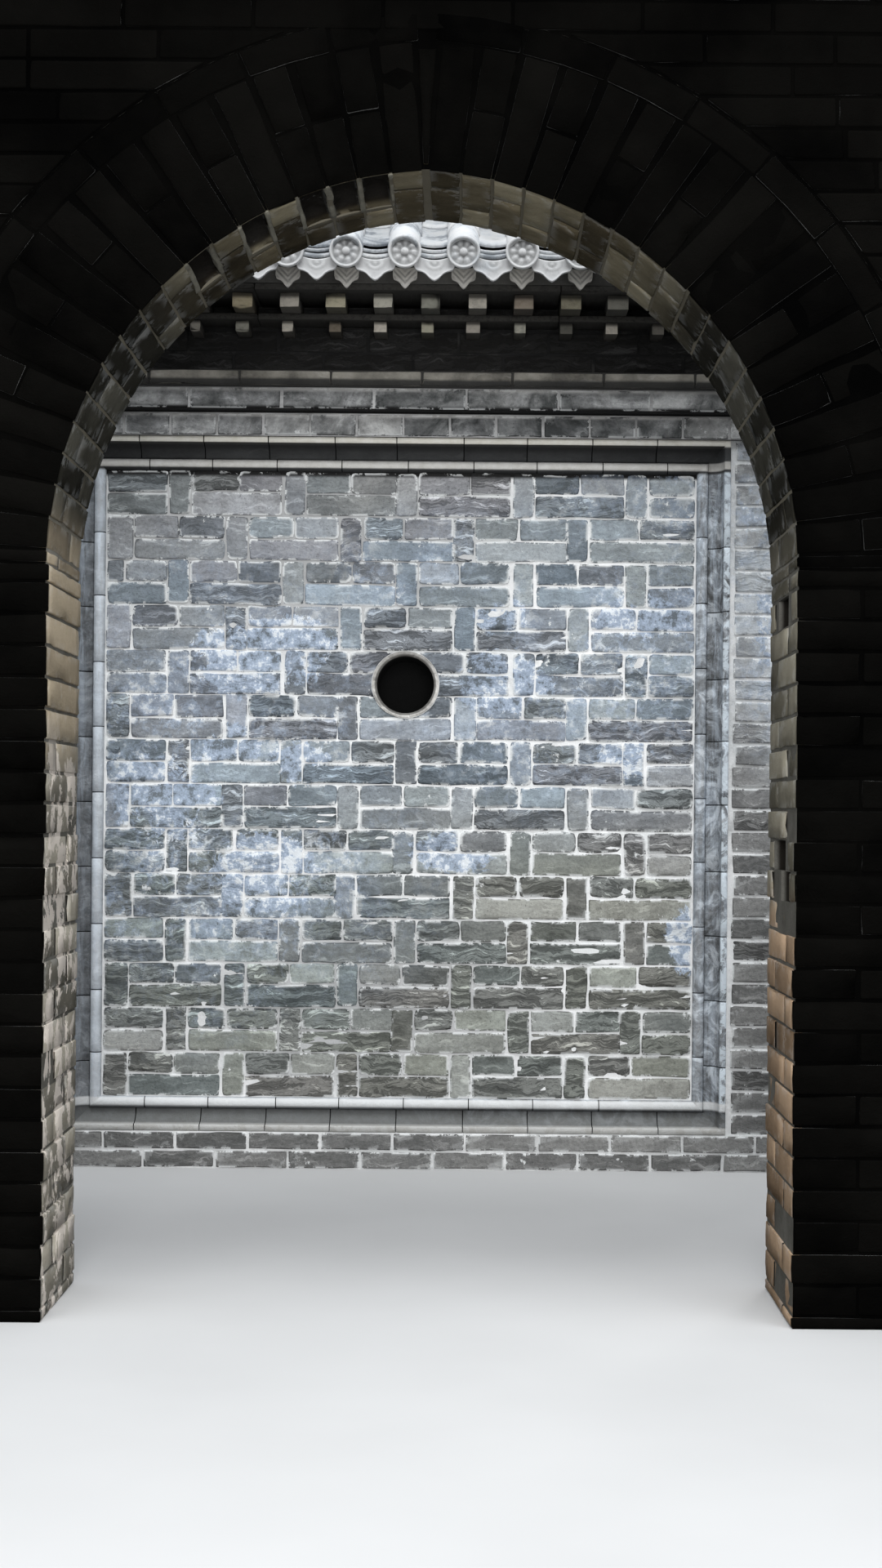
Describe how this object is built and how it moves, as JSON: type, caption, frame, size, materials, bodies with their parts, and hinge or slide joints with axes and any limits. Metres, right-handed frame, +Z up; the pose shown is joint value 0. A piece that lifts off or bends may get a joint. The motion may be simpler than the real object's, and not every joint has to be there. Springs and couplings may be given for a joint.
{
  "type": "arched brick gateway with screen wall",
  "caption": "Round-headed brick gateway under a tiled coping, facing a tiled brick screen wall with a framed patterned panel and a small round opening ringed in clay.",
  "frame": {"origin": "at the ground, on the gate's axis, half way through the whole depth", "axes": "+Z up, +X to the right for someone who looks from the gate to the screen wall, +Y from the gate to the screen wall"},
  "size_m": [3.52, 3.322, 3.8537],
  "materials": {
    "grey_brick": "fired grey brick in lime joints, weathered",
    "panel_brick": "fired grey brick in patterned bond, pale bloom on the left",
    "moulded_brick": "rubbed and moulded grey brick",
    "brown_brick": "worn brown and tan brick in pale lime mortar",
    "sooty_brick": "grey brick dark with soot on the inner face",
    "lime_mortar": "lime mortar",
    "grey_tile": "unglazed grey roof tile, bleached",
    "clay_ring": "unglazed clay, broken at the rim",
    "weathered_wood": "bare weathered wood"
  },
  "bodies": {
    "root": {"cornice_lower_band": "grey_brick", "cornice_middle_band": "grey_brick", "cornice_upper_band": "grey_brick", "eave_boards": "weathered_wood", "frame_bead_bottom": "moulded_brick", "frame_bead_left": "moulded_brick", "frame_bead_right": "moulded_brick", "frame_bead_top": "moulded_brick", "frame_moulding_bottom": "moulded_brick", "frame_moulding_left": "moulded_brick", "frame_moulding_right": "moulded_brick", "frame_moulding_top": "moulded_brick", "frieze_wall": "grey_brick", "gate_arch_cap": "brown_brick", "gate_arch_ring": "brown_brick", "gate_back_covers": "grey_tile", "gate_back_pans": "grey_tile", "gate_corbels": "sooty_brick", "gate_drip_tiles": "grey_tile", "gate_front_covers": "grey_tile", "gate_front_pans": "grey_tile", "gate_left_pier": "brown_brick", "gate_left_spandrel": "sooty_brick", "gate_ridge": "lime_mortar", "gate_right_pier": "brown_brick", "gate_right_spandrel": "sooty_brick", "gate_roof_core": "lime_mortar", "gate_top_wall": "sooty_brick", "lower_rafter_ends": "weathered_wood", "moon_ring": "clay_ring", "rafter_boards": "weathered_wood", "screen_back_covers": "grey_tile", "screen_back_pans": "grey_tile", "screen_core": "grey_brick", "screen_drip_tiles": "grey_tile", "screen_front_covers": "grey_tile", "screen_front_pans": "grey_tile", "screen_left_pier": "grey_brick", "screen_lower_drips": "grey_tile", "screen_panel": "panel_brick", "screen_plinth": "grey_brick", "screen_ridge": "lime_mortar", "screen_right_pier": "grey_brick", "screen_roof_core": "lime_mortar", "upper_rafter_ends": "weathered_wood"}
  },
  "joints": []
}
